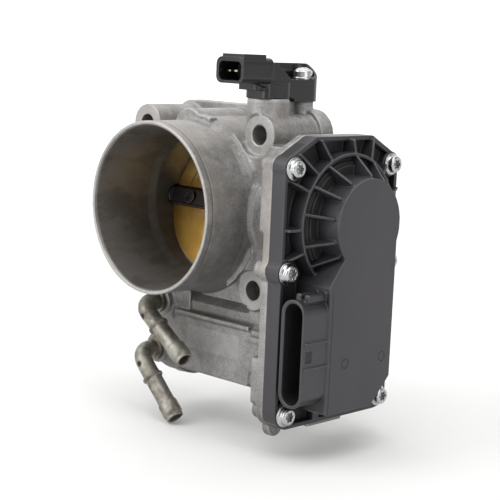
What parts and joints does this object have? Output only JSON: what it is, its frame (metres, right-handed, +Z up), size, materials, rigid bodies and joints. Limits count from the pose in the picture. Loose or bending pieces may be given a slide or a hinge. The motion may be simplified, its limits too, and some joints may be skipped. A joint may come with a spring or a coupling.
{
  "type": "throttle body",
  "caption": "Electronic throttle body: cast housing with hose inlet, brass throttle plate, motor and gear train under a ribbed cover, pressure sensor and coolant pipes.",
  "frame": {"origin": "centre of the bore on the rear mounting face, which is also the centre of the four-bolt pattern", "axes": "+Y runs downstream along the bore into the manifold, +X points at the gear cover, +Z is up towards the pressure sensor"},
  "size_m": [0.1409, 0.084, 0.1672],
  "materials": {
    "cast_aluminium": "as-cast, bead-blasted satin grey, machined lip and faces",
    "shaft_steel": "blackened ground steel",
    "plate_brass": "turned satin brass",
    "screw_zinc": "bright zinc plating",
    "bearing_steel": "ground steel",
    "gear_nylon": "natural moulded nylon",
    "magnet_ferrite": "sintered ferrite, matt",
    "seal_rubber": "moulded rubber",
    "spring_steel": "drawn spring wire",
    "motor_steel": "zinc-plated drawn can",
    "copper_wire": "enamelled copper",
    "core_laminations": "stacked laminations, varnished",
    "carbon": "carbon brush",
    "cover_plastic": "glass-filled black nylon, satin",
    "sensor_plastic": "moulded black plastic",
    "terminal_tin": "tin-plated brass",
    "board_green": "lacquered board",
    "pipe_steel": "yellow-passivated steel tube"
  },
  "bodies": {
    "housing": {"throttle_housing": "cast_aluminium", "bearing_outer_race": "bearing_steel", "bearing_balls": "bearing_steel", "needle_bearing": "bearing_steel", "shaft_seals": "seal_rubber", "shaft_end_plug": "bearing_steel", "return_spring": "spring_steel", "spring_guide": "gear_nylon", "intermediate_pin": "bearing_steel", "motor_can": "motor_steel", "motor_bushes": "plate_brass", "motor_end_plate": "motor_steel", "motor_spring_washer": "spring_steel", "motor_retainer": "bearing_steel", "motor_screws": "screw_zinc", "motor_magnets": "magnet_ferrite", "motor_brushes": "carbon", "gear_cover": "cover_plastic", "cover_gasket": "seal_rubber", "cover_screws": "screw_zinc", "connector_terminals": "terminal_tin", "position_sensor_board": "board_green", "pressure_sensor": "sensor_plastic", "sensor_terminals": "terminal_tin", "sensor_o_ring": "seal_rubber", "sensor_screw": "screw_zinc", "upper_coolant_pipe": "pipe_steel", "lower_coolant_pipe": "pipe_steel", "coolant_core_plug": "bearing_steel"},
    "throttle": {"throttle_shaft": "shaft_steel", "throttle_plate": "plate_brass", "plate_screws": "shaft_steel", "throttle_gear": "gear_nylon", "throttle_gear_insert": "bearing_steel", "shaft_nut": "screw_zinc", "sensor_magnets": "magnet_ferrite", "bearing_inner_race": "bearing_steel"},
    "idler": {"intermediate_gear": "gear_nylon"},
    "motor_rotor": {"motor_shaft": "bearing_steel", "motor_armature": "core_laminations", "motor_windings": "copper_wire", "motor_commutator": "copper_wire", "motor_pinion": "plate_brass"}
  },
  "joints": [
    {"name": "throttle_hinge", "type": "hinge", "parent": "housing", "child": "throttle", "pos_m": [0, -0.02, 0], "axis": [-1, 0, 0], "range_deg": [-10, 72], "stiffness_Nm_per_rad": 0.2},
    {"name": "idler_hinge", "type": "hinge", "parent": "housing", "child": "idler", "pos_m": [0.066, -0.02, -0.0352], "axis": [-1, 0, 0], "range_deg": [-216.5, 30.5]},
    {"name": "motor_hinge", "type": "hinge", "parent": "housing", "child": "motor_rotor", "pos_m": [0.03, -0.02, -0.0618], "axis": [-1, 0, 0], "range_deg": [-133.86, 957.57]}
  ],
  "couplings": [
    {"joint": "idler_hinge", "follows": "throttle_hinge", "ratio": -3},
    {"joint": "motor_hinge", "follows": "throttle_hinge", "ratio": 13.286}
  ]
}
